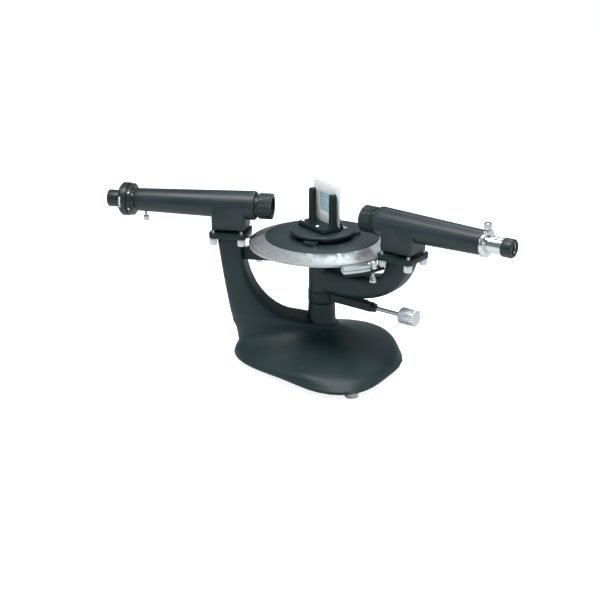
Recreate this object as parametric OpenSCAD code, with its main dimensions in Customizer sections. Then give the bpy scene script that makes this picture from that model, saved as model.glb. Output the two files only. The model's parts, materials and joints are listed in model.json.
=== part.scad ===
// Student spectrometer: a cast stand with a fixed collimator, a turning telescope arm,
// a graduated circle and a prism table with a slide holder. All sizes in millimetres.
// The spindle axis is Z, the bench is Z = 0 and the collimator points along -X.

/* [Base casting] */
// Height of the feet under the rim
foot_h = 7; // [5:0.5:12]
// Foot diameter
foot_d = 16; // [12:0.5:20]
// Diameter of the circle on which the three feet stand
foot_circle_d = 206; // [180:1:206]
// Mean radius of the base outline
base_r = 101.5; // [98:0.5:115]
// How far the three lobes stand out from the mean outline
lobe_out = 11.5; // [4:0.1:14]
// Height of the column seat above the rim's underside
seat_rise = 48; // [42:0.5:60]
// Height of the upright rim of the base
rim_h = 14.5; // [8:0.5:16]
// Wall thickness of the hollow base
wall = 8; // [5:0.5:10]
// Gap between the circle's rim and both arms
arm_gap = 8.6; // [8:0.1:12]
// Length of both arms' tops along the tubes
arm_top_l = 31.8; // [30:0.1:34]
// Width of both arms at the top
arm_w = 30; // [26:0.5:36]

/* [Column and spindle] */
// Column radius at the seat
column_r = 18.5; // [17:0.1:20]
// Column radius at the top
column_top_r = 16.5; // [15:0.1:18]
// Column height
column_h = 29; // [24:0.5:40]
// Spindle radius
spindle_r = 8; // [6.5:0.1:9]
// Radial running clearance of turning fits
fit = 0.05; // [0.02:0.01:0.1]
// Clearance between pieces that move past each other
gap = 0.3; // [0.2:0.05:0.6]

/* [Clamp] */
// Height of the clamp collar
collar_h = 13.5; // [11:0.1:18]
// Side of the square clamp bar
bar_w = 9.5; // [8:0.1:10.5]
// Reach of the clamp bar from the spindle axis
bar_reach = 79; // [70:0.5:90]
// Radius of the clamp screw's rod
rod_r = 2.5; // [1.8:0.1:3]
// Length of rod that shows between bar and knob
rod_show = 36; // [15:0.5:40]
// Clamp knob diameter
clamp_knob_d = 19.5; // [16:0.1:21]
// Clamp knob length
clamp_knob_l = 21; // [18:0.5:32]

/* [Telescope arm] */
// Angle of the telescope arm from the +X direction
telescope_angle = -26.2; // [-60:0.1:60]
// Hub radius
hub_r = 16.5; // [15:0.1:18]
// Hub height
hub_h = 51.5; // [46:0.5:60]
// Height of the arm beside the hub
arm_t = 31.5; // [26:0.5:36]
// Wall of the bearing bushes
bush_wall = 2.5; // [1.5:0.1:4]
// Height of each bearing bush
bush_h = 14; // [8:0.5:18]
// Rise of both arm tops above the hub's top
pad_rise = 12; // [11:0.5:16]

/* [Bracket plates] */
// Plate thickness
plate_t = 6; // [4:0.5:8]
// Plate length along the tube
plate_l = 46; // [44:0.5:50]
// Plate width
plate_w = 45; // [38:0.5:50]
// Radius of the plate corners
plate_corner_r = 6; // [3:0.5:8]
// Gap between the plate and the tube's saddle
rock_gap = 4; // [3:0.25:6]
// Spacing of the levelling screws along the tube
screw_pitch_l = 35; // [33:0.5:36]
// Spacing of the levelling screws across the tube
screw_pitch_w = 34; // [33:0.5:38]
// Radius of a levelling screw's shank
level_screw_r = 2; // [1.5:0.1:2.5]
// Diameter of a levelling screw's knurled head
level_head_d = 9.6; // [8:0.1:10]
// Height of a levelling screw's knurled head
level_head_h = 8.5; // [5:0.1:10]

/* [Tubes] */
// Height of the optical axis above the saddle's underside
axis_rise = 28; // [25:0.5:32]
// How far the tubes reach inward past the arms' inner faces
tube_overhang = 17.1; // [14:0.1:20]
// Tube diameter at the objective end
tube_d = 35.5; // [34:0.5:37]
// Tube diameter at the far end
tube_end_d = 28; // [26.5:0.5:30]
// Collimator tube length
collimator_l = 152.5; // [130:0.5:180]
// Telescope tube length
telescope_l = 134.5; // [120:0.5:160]
// Clear bore radius of both tubes
tube_bore_r = 11.5; // [10.5:0.1:12]
// Saddle length
saddle_l = 41; // [38:0.5:44]
// Saddle width
saddle_w = 34; // [32:0.5:36]
// Objective ring diameter
objective_d = 31.5; // [30:0.1:33]
// Objective ring length
objective_l = 19.5; // [12:0.5:20]
// Lens thickness at the centre
lens_t = 5; // [3:0.5:7]
// Radius of the focusing tubes
draw_r = 9.25; // [8:0.05:9.5]

/* [Slit unit] */
// Gap between collimator tube and slit drum
slit_gap = 2.5; // [2.2:0.1:6]
// Slit drum diameter
drum_d = 41; // [36:0.5:44]
// Slit drum length
drum_l = 16.3; // [12:0.1:20]
// Radius of the barrel behind the drum
barrel_r = 10.5; // [8:0.1:12]
// Barrel length
barrel_l = 17.2; // [10:0.1:24]

/* [Eyepiece] */
// Flange length at the telescope's end
flange_l = 5.6; // [4:0.1:8]
// Flange diameter
flange_d = 31.3; // [28.5:0.1:33]
// Length of focusing tube that shows
draw_show = 17; // [10:0.5:24]
// Eyepiece cap diameter
cap_d = 21; // [19.5:0.1:24]
// Eyepiece cap length
cap_l = 13; // [9:0.5:18]

/* [Circle] */
// Radius of the black disc inside the bevel
disc_r = 69.3; // [60:0.1:74]
// Outer radius of the graduated ring
circle_r = 89; // [84:0.1:90.5]
// Height of the ring's upright rim
rim_t = 3; // [2:0.1:5]
// Height of the ring's bevel
bevel_h = 6.8; // [4:0.1:9]
// Thickness of the black disc
disc_t = 4; // [2.5:0.1:5]
// Radius of the circle's hub
circle_hub_r = 24; // [18:0.5:28]

/* [Vernier] */
// Angle of the vernier plate from the telescope arm
vernier_angle = -31; // [-36:0.5:-30]
// Half width of the vernier plate, as an angle
vernier_half = 9.5; // [6:0.5:12]
// Thickness of the vernier plate
vernier_t = 7.5; // [3:0.1:8]
// Radius of the vernier plate's outer edge
vernier_r = 102; // [96:0.5:106]

/* [Prism table] */
// Table radius
table_r = 39.5; // [34:0.5:42]
// Table thickness
table_t = 4; // [3:0.1:6]
// Reach of the three lobes of the plate under the table
lobe_reach = 47; // [44:0.5:50]
// Thickness of the lobed plate
lobe_t = 4; // [2:0.1:5]
// Radius of the table's stem
stem_r = 4; // [3:0.1:5]
// Length of the table's stem
stem_l = 45; // [30:1:55]

/* [Slide holder] */
// Direction of the holder's long side
holder_angle = -44; // [-90:1:90]
// Holder length
holder_l = 54; // [52:0.5:64]
// Holder width
holder_w = 34; // [30:0.5:40]
// Holder thickness
holder_t = 5.4; // [4:0.1:8]
// Distance between the posts
post_pitch = 41; // [38:0.5:44]
// Width of a post
post_w = 8; // [7:0.1:11]
// Depth of a post
post_d = 6; // [5:0.1:9]
// Height of the posts
post_h = 41; // [30:0.5:46]
// Side of the square slide
slide_s = 51; // [48:0.5:52]
// Slide thickness
slide_t = 2; // [1.2:0.1:3]
// Side of the slide's window
window_s = 24; // [20:0.5:30]

/* [Hidden] */
$fn = 64;

black = [0.13, 0.15, 0.15];
dark = [0.08, 0.09, 0.09];
silver = [0.78, 0.79, 0.8];
steel = [0.62, 0.64, 0.66];
brass = [0.75, 0.6, 0.3];
clear = [0.75, 0.85, 0.9];
white = [0.95, 0.95, 0.95];
eps = 0.01;

// Heights, each from the piece below it
seat_z = foot_h + seat_rise;
saddle_z = seat_z + 7;
column_top_z = seat_z + column_h;
thrust_t = 0.7;
collar_z = column_top_z + thrust_t + gap;
hub_z = collar_z + collar_h;
hub_top_z = hub_z + hub_h;
pad_z = hub_top_z + pad_rise;
plate_z = pad_z + plate_t;
saddle_bottom_z = plate_z + rock_gap;
axis_z = saddle_bottom_z + axis_rise;
bar_z = collar_z + collar_h / 2;
circle_z = hub_top_z + 7.2;
disc_top_z = circle_z + rim_t + bevel_h;
disc_z = disc_top_z - disc_t;
lobe_z = disc_top_z + gap;
table_z = lobe_z + lobe_t + 1;
table_top_z = table_z + table_t;
holder_top_z = table_top_z + holder_t;

// Places along the tubes
arm_inner = circle_r + arm_gap;
arm_reach = arm_inner + arm_top_l;
pad_mid = arm_inner + arm_top_l / 2;
tube_start = arm_inner - tube_overhang;
plate_mid = pad_mid + 0.5;
foot_places = [for (a = [-60, 60, 180]) [a, foot_circle_d / 2]];
collimator_end = tube_start + collimator_l;
drum_start = collimator_end + slit_gap;
barrel_start = drum_start + drum_l;
telescope_end = tube_start + telescope_l;
flange_end = telescope_end + flange_l;
cap_start = flange_end + draw_show;
cap_end = cap_start + cap_l;

// General helpers
function mix(a, b, k) = a * (1 - k) + b * k;
function spow(v, p) = sign(v) * pow(abs(v), p);

module ring(r_out, r_in, h) {
    difference() {
        cylinder(r = r_out, h = h);
        translate([0, 0, -1]) cylinder(r = r_in, h = h + 2);
    }
}

module rounded_plate(l, w, h, r) {
    union() {
        translate([-l / 2 + r, -w / 2, 0]) cube([l - 2 * r, w, h]);
        translate([-l / 2, -w / 2 + r, 0]) cube([l, w - 2 * r, h]);
        for (x = [-1, 1], y = [-1, 1])
            translate([x * (l / 2 - r), y * (w / 2 - r), 0]) cylinder(r = r, h = h);
    }
}

// A knurled cylinder along +Z with a bevelled edge at both ends
module knurled(d, h, flutes, depth) {
    difference() {
        rotate_extrude() polygon([
            [0, 0], [d / 2 - depth, 0], [d / 2, depth],
            [d / 2, h - depth], [d / 2 - depth, h], [0, h]
        ]);
        for (i = [0:flutes - 1])
            rotate([0, 0, i * 360 / flutes]) translate([d / 2 + depth * 0.35, 0, -1])
                cylinder(r = depth, h = h + 2, $fn = 16);
    }
}

// Frames: local X runs outward along an optical axis, local Z is up
module at_collimator() { rotate([0, 0, 180]) children(); }
module at_telescope() { rotate([0, 0, telescope_angle]) children(); }
module at_holder() { rotate([0, 0, holder_angle]) children(); }
// Local Z becomes the outward optical axis at a distance s
module along_axis(s) { translate([s, 0, axis_z]) rotate([0, 90, 0]) children(); }

// A closed solid through a stack of outlines with the same number of points
module loft(rings) {
    n = len(rings[0]);
    m = len(rings);
    points = [for (r = rings) for (p = r) p];
    sides = [
        for (j = [0:m - 2]) for (i = [0:n - 1]) for (h = [0, 1])
            h == 0
                ? [j * n + i, (j + 1) * n + i, (j + 1) * n + (i + 1) % n]
                : [j * n + i, (j + 1) * n + (i + 1) % n, j * n + (i + 1) % n]
    ];
    bottom = [[for (i = [0:n - 1]) i]];
    top = [[for (i = [0:n - 1]) m * n - 1 - i]];
    polyhedron(points = points, faces = concat(sides, bottom, top), convexity = 6);
}

// Base casting: three-lobed plan that flows up into the column seat and the collimator arm
function plan_r(a) = base_r + 5.1 * cos(a) + 2.7 * cos(2 * a) - lobe_out * cos(3 * a)
    + 2.1 * cos(4 * a) + 1.9 * cos(5 * a) + 1.5 * cos(6 * a);
arm_curve = 2.2;
function arm_outer(z) = let (u = (z - foot_h - rim_h) / (pad_z - foot_h - rim_h))
    arm_reach - 21 + 21 * min(1, u + 0.25 * u * u * (1 - u));
function arm_inside(z) = z >= pad_z - 7 ? arm_inner
    : column_r + (arm_inner - column_r) * pow(1 - pow((pad_z - 7 - z) / (pad_z - 7 - saddle_z),
        arm_curve), 1 / arm_curve);
function arm_half(z) = arm_w / 2 + 6.5 * pow(max(0, (pad_z - z) / (pad_z - saddle_z)), 1.6);
// Right end of the spine: the column seat, then the inner face of the arm
function spine_right(z) = z <= seat_z + 1 ? column_r + 1.5
    : z < saddle_z ? mix(column_r + 1.5, -column_r, pow((z - seat_z - 1) / (saddle_z - seat_z - 1), 1.5))
    : -arm_inside(z);
// The spine's outline is a rounded rectangle with rounder corners lower down
function spine_round(z) = mix(0.45, 0.62, max(0, min(1, (pad_z - z) / (pad_z - saddle_z))));
function spine_point(z, t, inset) = let (
        right = spine_right(z) - inset,
        left = -arm_outer(z) + inset,
        half = arm_half(z) - inset,
        p = spine_round(z)
    ) [(right + left) / 2 + (right - left) / 2 * spow(cos(t), p), half * spow(sin(t), p)];
// Parameters round the outline, closer together where the spine is seen end on
half_turn = [for (i = [0:25]) i * 90 / 26, for (i = [0:9]) 90 + i * 9];
turns = concat(half_turn, [180], [for (i = [35:-1:1]) 360 - half_turn[i]]);
merge_z = seat_z + 1;
function skirt_power(a) = mix(1.75, 1.1, pow(max(0, -cos(a)), 0.6));
function climb(z, a) = let (u = max(0, min(1, (z - foot_h - rim_h) / (merge_z - foot_h - rim_h))))
    1 - pow(1 - u, skirt_power(a));
function rim_shrink(z) = z < foot_h + 4 ? pow((foot_h + 4 - z) / 4, 2) * 3.2
    : z > foot_h + rim_h - 3 ? pow((z - foot_h - rim_h + 3) / 3, 2) * 1.5 : 0;
function casting_point(z, t, inset) = let (
        top = spine_point(max(z, merge_z), t, inset),
        a = atan2(top[1], top[0]),
        lip = 5 * pow(max(0, -cos(a)), 8) * max(0, min(1, (z - foot_h - rim_h + 2) / 3)),
        r = plan_r(a) - rim_shrink(min(z, foot_h + rim_h)) - lip - inset,
        k = climb(z, a)
    ) z >= merge_z ? top : [mix(r * cos(a), top[0], k), mix(r * sin(a), top[1], k)];
function casting_ring(z, inset, lift) = [
    for (t = turns) let (p = casting_point(z + lift, t, inset)) [p[0], p[1], z]
];
rim_levels = [for (d = [0, 1.2, 2.6, 4]) foot_h + d];
skirt_levels = [for (d = [-3, -1.5, 0, 1, 2.5, 5, 8, 12, 17, 23, 29, 35]) foot_h + rim_h + d];
neck_levels = [
    for (percent = [0, 1.9, 3.8, 4.7, 5.6, 6.6, 8, 11.3, 16, 22.6, 31, 40.5, 53.8, 68, 81])
        merge_z - 1 + (pad_z - merge_z) * percent / 100
];
casting_levels = concat(
    rim_levels,
    [for (z = skirt_levels) if (z < merge_z - 2) z],
    [for (z = neck_levels) if (z < pad_z - 8) z],
    [pad_z - 7, pad_z]
);
hollow_levels = [for (k = [0:7]) foot_h + k * (seat_z - wall - 3 - foot_h) / 7];

module hollow() {
    difference() {
        loft(concat(
            [[for (p = casting_ring(foot_h + rim_h - wall, wall, 0)) [p[0], p[1], foot_h - 1]]],
            [for (z = hollow_levels) casting_ring(z, wall, wall + 1)]
        ));
        for (f = foot_places)
            rotate([0, 0, f[0]]) translate([f[1], 0, foot_h - 2]) cylinder(r = foot_d / 2 + 3, h = 60);
    }
}

module base_casting() {
    color(black) difference() {
        loft([for (z = casting_levels) casting_ring(z, 0, 0)]);
        hollow();
        translate([0, 0, seat_z]) cylinder(r = column_r, h = column_h);
        translate([0, 0, foot_h]) cylinder(r = spindle_r, h = seat_z);
        // Spot face for the spindle's nut
        translate([0, 0, foot_h]) cylinder(r = nut_r + 2, h = nut_z + nut_h - foot_h);
        for (f = foot_places)
            rotate([0, 0, f[0]]) translate([f[1], 0, foot_h - 1]) cylinder(r = fix_r, h = stud_rise + 1.5);
        for (y = plate_screw_y) translate([-pad_mid, y, pad_z - fix_l + 2])
            cylinder(r = fix_r, h = fix_l);
    }
}

// Fixing screws: one pattern for the feet and the bracket plates
fix_r = 2.5;
fix_l = 12;
fix_head_r = 4.2;
fix_head_h = 2.6;
plate_screw_y = [-7, 7];
// How far the feet's own studs go up into the casting
stud_rise = 5.5;

module fixing_screw() {
    cylinder(r = fix_r - 0.02, h = fix_l);
    translate([0, 0, -fix_head_h]) difference() {
        cylinder(r = fix_head_r, h = fix_head_h);
        translate([0, 0, -1]) cylinder(r = 2, h = 2.4, $fn = 6);
    }
}

module base_feet() {
    color([0.6, 0.62, 0.6]) for (f = foot_places)
        rotate([0, 0, f[0]]) translate([f[1], 0, 0]) {
            cylinder(r = foot_d / 2, h = foot_h);
            cylinder(r = fix_r - 0.02, h = foot_h + stud_rise);
        }
}

module stand_screws() {
    color(steel) for (y = plate_screw_y)
        translate([-pad_mid, y, plate_z - fix_head_h]) mirror([0, 0, 1]) fixing_screw();
}

module column() {
    color(dark) rotate_extrude() polygon([
        [spindle_r, seat_z], [column_r, seat_z], [column_r, seat_z + 2.4],
        [column_r - 0.8, seat_z + 3], [column_top_r, column_top_z - 1],
        [column_top_r - 1, column_top_z], [spindle_r, column_top_z]
    ]);
}

nut_h = 8;
nut_r = 12;
nut_z = seat_z - wall - 3 - nut_h;
module spindle() {
    color(steel) difference() {
        union() {
            translate([0, 0, nut_z - 2]) cylinder(r = spindle_r - 0.02, h = circle_z - nut_z + 3);
            translate([0, 0, column_top_z]) cylinder(r = column_top_r - 2, h = thrust_t);
        }
        translate([0, 0, lobe_z - stem_l - 4]) cylinder(r = stem_r + fit, h = stem_l + 10);
    }
}

module spindle_nut() {
    color(steel) difference() {
        union() {
            translate([0, 0, nut_z]) cylinder(r = nut_r, h = nut_h - 1.5, $fn = 6);
            translate([0, 0, nut_z + nut_h - 1.5]) cylinder(r = nut_r + 1, h = 1.5);
        }
        translate([0, 0, nut_z - 1]) cylinder(r = spindle_r, h = nut_h + 2);
    }
}

// Bracket plates, the ear that carries the tube, and the levelling screws
ear_w = 8;
ear_l = 12;
pin_r = 2.5;
pin_z = saddle_bottom_z + 6;
tip_gap = gap + 0.25;
level_places = [for (x = [-1, 1], y = [-1, 1])
    [plate_mid + x * screw_pitch_l / 2, y * screw_pitch_w / 2]];

module bracket_plate() {
    difference() {
        union() {
            translate([plate_mid, 0, pad_z])
                rounded_plate(plate_l, plate_w, plate_t, plate_corner_r);
            translate([plate_mid - ear_l / 2, -ear_w / 2, plate_z - eps])
                cube([ear_l, ear_w, pin_z - plate_z + eps]);
            translate([plate_mid, ear_w / 2, pin_z]) rotate([90, 0, 0])
                cylinder(r = ear_l / 2, h = ear_w);
        }
        translate([plate_mid, ear_w, pin_z]) rotate([90, 0, 0])
            cylinder(r = pin_r + fit, h = 2 * ear_w);
        for (p = level_places) translate([p[0], p[1], pad_z - 1])
            cylinder(r = level_screw_r + fit, h = plate_t + 2);
        for (y = plate_screw_y) translate([pad_mid, y, pad_z - 1]) {
            cylinder(r = fix_r, h = plate_t + 2);
            translate([0, 0, plate_t + 1 - fix_head_h]) cylinder(r = fix_head_r + 0.3, h = 10);
        }
    }
}

module levelling_screw(i) {
    p = level_places[i];
    translate([p[0], p[1], 0]) {
        translate([0, 0, pad_z - gap - level_head_h])
            knurled(level_head_d, level_head_h, 20, 0.7);
        translate([0, 0, pad_z - gap - eps])
            cylinder(r = level_screw_r, h = plate_t + rock_gap + gap - tip_gap);
    }
}

module collimator_plate() { color(black) at_collimator() bracket_plate(); }
module telescope_plate() { color(black) at_telescope() bracket_plate(); }
module collimator_screw_1() { color(silver) at_collimator() levelling_screw(0); }
module collimator_screw_2() { color(silver) at_collimator() levelling_screw(1); }
module collimator_screw_3() { color(silver) at_collimator() levelling_screw(2); }
module collimator_screw_4() { color(silver) at_collimator() levelling_screw(3); }
module telescope_screw_1() { color(silver) at_telescope() levelling_screw(0); }
module telescope_screw_2() { color(silver) at_telescope() levelling_screw(1); }
module telescope_screw_3() { color(silver) at_telescope() levelling_screw(2); }
module telescope_screw_4() { color(silver) at_telescope() levelling_screw(3); }

// Optical tubes: a tapered tube with a flat-sided saddle
objective_seat_l = 7;
module tube_with_saddle(length) {
    difference() {
        union() {
            along_axis(tube_start) rotate_extrude() polygon([
                [tube_bore_r, 0], [tube_d / 2 - 3.2, 0], [tube_d / 2 - 1.2, 0.7],
                [tube_d / 2 - 0.3, 2], [tube_d / 2, 4], [tube_end_d / 2, length - 1],
                [tube_end_d / 2 - 1, length], [tube_bore_r, length]
            ]);
            difference() {
                translate([pad_mid, 0, saddle_bottom_z])
                    rounded_plate(saddle_l, saddle_w, axis_rise, 2);
                along_axis(tube_start) cylinder(r = tube_d / 2 - 2, h = length);
            }
        }
        // Pocket for the ear and a blind hole for its pin
        translate([plate_mid - ear_l / 2 - 1.5, -ear_w / 2 - gap, saddle_bottom_z - 1])
            cube([ear_l + 3, ear_w + 2 * gap, pin_z - saddle_bottom_z + ear_l / 2 + 2]);
        translate([plate_mid, pin_l / 2, pin_z]) rotate([90, 0, 0]) cylinder(r = pin_r, h = pin_l);
        along_axis(tube_start - 1) cylinder(r = ring_neck_r, h = objective_seat_l + 1);
    }
}
pin_l = 24;
ring_neck_r = 13;

module collimator_body() {
    color(black) at_collimator() difference() {
        tube_with_saddle(collimator_l);
        // Tapped hole for the lock screw under the tube
        translate([lock_s, 0, axis_z - tube_end_d]) cylinder(r = lock_r + fit, h = tube_end_d);
    }
}

module telescope_body() {
    color(black) at_telescope() tube_with_saddle(telescope_l);
}

module pivot_pin() {
    translate([plate_mid, pin_l / 2, pin_z]) rotate([90, 0, 0]) cylinder(r = pin_r, h = pin_l);
}
module collimator_pivot_pin() { color(steel) at_collimator() pivot_pin(); }
module telescope_pivot_pin() { color(steel) at_telescope() pivot_pin(); }

// Objective rings screw into the tube and hold the lens against a shoulder
lens_r = 11.6;
ring_bore_r = 10.8;
ring_collar_l = 3.5;
module objective_ring() {
    along_axis(tube_start) difference() {
        union() {
            translate([0, 0, -ring_collar_l]) rotate([180, 0, 0])
                knurled(objective_d, objective_l - ring_collar_l, 36, 0.55);
            translate([0, 0, -ring_collar_l - eps])
                cylinder(r = objective_d / 2 - 1.6, h = ring_collar_l + eps);
            cylinder(r = ring_neck_r - 0.02, h = objective_seat_l);
        }
        translate([0, 0, -objective_l - 1]) cylinder(r = ring_bore_r, h = objective_l + 20);
        translate([0, 0, objective_seat_l - lens_t - 0.5]) cylinder(r = lens_r, h = 20);
    }
}
module lens_between(r, t, bulge) {
    rotate_extrude() polygon(concat(
        [for (i = [0:6]) [r * i / 6, -bulge * (1 - pow(i / 6, 2)) - t / 2 + bulge]],
        [for (i = [6:-1:0]) [r * i / 6, bulge * (1 - pow(i / 6, 2)) + t / 2 - bulge]]
    ));
}
module objective_lens() {
    along_axis(tube_start + objective_seat_l - lens_t / 2 - 0.3) lens_between(lens_r - 0.02, lens_t, 1.2);
}
module collimator_objective_ring() { color(dark) at_collimator() objective_ring(); }
module telescope_objective_ring() { color(dark) at_telescope() objective_ring(); }
module collimator_lens() { color(clear) at_collimator() objective_lens(); }
module telescope_lens() { color(clear) at_telescope() objective_lens(); }

// Slit unit at the collimator's far end
draw_in = 34;
jaw_t = 1;
jaw_h = 14;
jaw_w = 6;
slit_w = 0.4;
lock_s = tube_start + collimator_l - 11;
lock_r = 1.5;

module slit_draw_tube() {
    color(silver) at_collimator() along_axis(drum_start - draw_in - slit_gap)
        ring(tube_bore_r - fit, tube_bore_r - 1.8, draw_in + slit_gap + 6);
}

module slit_drum() {
    color(dark) at_collimator() along_axis(drum_start) difference() {
        rotate_extrude() polygon([
            [0, 0], [drum_d / 2 - 1.6, 0], [drum_d / 2 - 0.8, 0.8], [drum_d / 2 - 0.8, 4.2],
            [drum_d / 2 - 2, 4.6], [drum_d / 2 - 2, 5.6], [drum_d / 2, 6.2],
            [drum_d / 2, drum_l - 2.6], [drum_d / 2 - 2.6, drum_l], [0, drum_l]
        ]);
        translate([0, 0, -1]) cylinder(r = tube_bore_r, h = 7);
        // Slot for the jaws, and the light's way through
        translate([-jaw_h / 2 - 0.3, -jaw_w - 2.5, 9])
            cube([jaw_h + 0.6, 2 * jaw_w + 5, jaw_t + 0.6]);
        translate([0, 0, -2]) cylinder(r = 5, h = drum_l + 4);
        translate([-knob_rise, 1 - jaw_w, 9.8]) rotate([90, 0, 0])
            cylinder(r = slit_knob_r + fit, h = drum_d);
    }
}
knob_rise = 4;
slit_knob_r = 1.2;

module slit_barrel() {
    color(dark) at_collimator() along_axis(barrel_start) rotate_extrude() polygon([
        [barrel_r - 2, 0], [barrel_r, 0], [barrel_r, barrel_l - 1],
        [barrel_r - 1, barrel_l], [barrel_r - 2, barrel_l]
    ]);
}

module jaw(side) {
    along_axis(drum_start + 9.3)
        translate([-jaw_h / 2, side > 0 ? slit_w / 2 : -slit_w / 2 - jaw_w, 0])
            cube([jaw_h, jaw_w, jaw_t]);
}
module fixed_jaw() { color(brass) at_collimator() jaw(1); }
module moving_jaw() { color(brass) at_collimator() jaw(-1); }

module slit_knob() {
    color(silver) at_collimator() along_axis(drum_start)
        translate([-knob_rise, -slit_w / 2 - jaw_w - 2.5, 9.8]) rotate([90, 0, 0]) {
            cylinder(r = slit_knob_r, h = drum_d / 2 - jaw_w);
            translate([0, 0, drum_d / 2 - jaw_w - 1.5]) knurled(7, 6, 16, 0.45);
        }
}

module slit_lock_screw() {
    color(silver) at_collimator() translate([lock_s, 0, axis_z - tube_end_d / 2 - 12]) {
        knurled(7, 6, 16, 0.45);
        cylinder(r = lock_r, h = 12 + tube_end_d / 2 - tube_bore_r - 0.1);
    }
}

// Telescope arm: a curved beam lofted from the hub up to the plate
function curve(a, b, c, d, q) = a * pow(1 - q, 3) + b * 3 * q * pow(1 - q, 2)
    + c * 3 * q * q * (1 - q) + d * pow(q, 3);
arm_base_z = hub_z + gap;
under_bend = 0.734 * arm_reach;
upper_bend = 0.8 * arm_inner;
function under_side(q) = curve([6, arm_base_z + 0.4], [under_bend, arm_base_z - 3.5],
    [arm_reach - 7, pad_z - 37], [arm_reach, pad_z], q);
function upper_side(q) = curve([6, arm_base_z + arm_t], [upper_bend, arm_base_z + arm_t],
    [arm_inner + 1, pad_z - 33], [arm_inner, pad_z], q);
arm_steps = 22;
arm_points = 32;
function beam_ring(q) = let (
        u = under_side(q),
        v = upper_side(q),
        c = (u + v) / 2,
        h = (v - u) / 2,
        b = mix(hub_r - 2, arm_w / 2, q),
        p = mix(0.5, 0.45, q)
    ) [for (i = [0:arm_points - 1]) let (t = i * 360 / arm_points)
        [c[0] + h[0] * spow(sin(t), p), b * spow(cos(t), p), c[1] + h[1] * spow(sin(t), p)]];

module telescope_arm() {
    color(black) at_telescope() difference() {
        union() {
            loft([for (i = [0:arm_steps]) beam_ring(i / arm_steps)]);
            translate([0, 0, hub_z + gap]) cylinder(r = hub_r, h = hub_h - gap);
        }
        translate([0, 0, hub_z - 1]) cylinder(r = spindle_r + fit + bush_wall, h = hub_h + 2);
        for (y = plate_screw_y) translate([pad_mid, y, pad_z - fix_l + 2])
            cylinder(r = fix_r, h = fix_l);
    }
}

module hub_bushes() {
    color(brass) at_telescope() for (z = [hub_z + gap, hub_top_z - bush_h])
        translate([0, 0, z]) ring(spindle_r + fit + bush_wall, spindle_r + fit, bush_h);
}

module arm_screws() {
    color(steel) at_telescope() for (y = plate_screw_y)
        translate([pad_mid, y, plate_z - fix_head_h]) mirror([0, 0, 1]) fixing_screw();
}

// Clamp collar with its bar, and the long screw inside the bar
tab_l = 22;
tab_s = 46;
module clamp_collar() {
    color(dark) at_telescope() difference() {
        union() {
            translate([0, 0, collar_z]) cylinder(r = column_top_r + 0.5, h = collar_h);
            translate([column_top_r - 4, -bar_w / 2, bar_z - bar_w / 2])
                cube([bar_reach - column_top_r, bar_w, bar_w]);
            translate([bar_reach - 4, 0, bar_z]) rotate([0, 90, 0])
                cylinder(r = bar_w / 2 + 0.7, h = 4);
            translate([tab_s, -2, bar_z]) cube([tab_l, 4, hub_z + gap - bar_z]);
        }
        translate([0, 0, collar_z - 1]) cylinder(r = spindle_r + fit, h = collar_h + 2);
        translate([0, 0, bar_z]) rotate([0, 90, 0]) cylinder(r = rod_r + fit, h = bar_reach + 2);
    }
}

module clamp_screw() {
    color(silver) at_telescope() translate([spindle_r + gap, 0, bar_z]) rotate([0, 90, 0]) {
        cylinder(r = rod_r, h = bar_reach + rod_show - spindle_r - gap + 1);
        translate([0, 0, bar_reach + rod_show - spindle_r - gap])
            knurled(clamp_knob_d, clamp_knob_l, 28, 0.8);
    }
}

// Vernier plate outside the circle's rim, on a bracket from the telescope arm
vernier_z = circle_z + rim_t - vernier_t;
bracket_t = 3.5;
vernier_groove = 1;
module sector(r_in, r_out, a, half, h) {
    intersection() {
        ring(r_out, r_in, h);
        rotate([0, 0, a]) linear_extrude(h) polygon([
            [0, 0],
            [2 * r_out * cos(half), -2 * r_out * sin(half)],
            [2 * r_out * cos(half), 2 * r_out * sin(half)]
        ]);
    }
}
lock_angle = vernier_angle + vernier_half + 4;
lock_radius = vernier_r - 4;
lock_tail = 12;
lock_head = 9.5;
module vernier_bracket() {
    color(dark) at_telescope() difference() {
        translate([0, 0, vernier_z - bracket_t])
            sector(circle_r - 2, vernier_r - 1, (vernier_angle - vernier_half) / 2,
                (vernier_half - vernier_angle) / 2 - 1.5, bracket_t);
        rotate([0, 0, lock_angle]) translate([lock_radius, 0, vernier_z - 5])
            cylinder(r = lock_r + fit, h = 8);
        // The end seats against the side of the arm
        translate([arm_inner - 15, -arm_w / 2 - 0.2, vernier_z - 5]) cube([60, arm_w, 10]);
    }
}

module vernier_plate() {
    color(silver) at_telescope() difference() {
        // Its side along the rim is flat, and nearest to it at the middle
        intersection() {
            translate([0, 0, vernier_z])
                sector(circle_r - 2, vernier_r, vernier_angle, vernier_half, vernier_t);
            rotate([0, 0, vernier_angle]) translate([circle_r + gap, -vernier_r, vernier_z - 1])
                cube([vernier_r, 2 * vernier_r, vernier_t + 2]);
        }
        // Groove along the front
        translate([0, 0, vernier_z + vernier_t * 0.45])
            sector(vernier_r - 1, vernier_r + 5, vernier_angle, vernier_half + 5, vernier_groove);
    }
}

module circle_lock_screw() {
    color(silver) at_telescope() rotate([0, 0, lock_angle])
        translate([lock_radius, 0, vernier_z]) {
            translate([0, 0, -bracket_t - gap - lock_tail]) rotate_extrude() polygon([
                [0, 0], [4.1, 0], [4.4, 0.4], [4.4, 2.4], [2.2, 8], [2.2, lock_tail], [0, lock_tail]
            ]);
            translate([0, 0, -bracket_t - gap - 0.1]) cylinder(r = lock_r, h = bracket_t + 2 * gap + 0.2);
            translate([0, 0, gap]) knurled(7.8, lock_head, 16, 0.45);
        }
}

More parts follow.
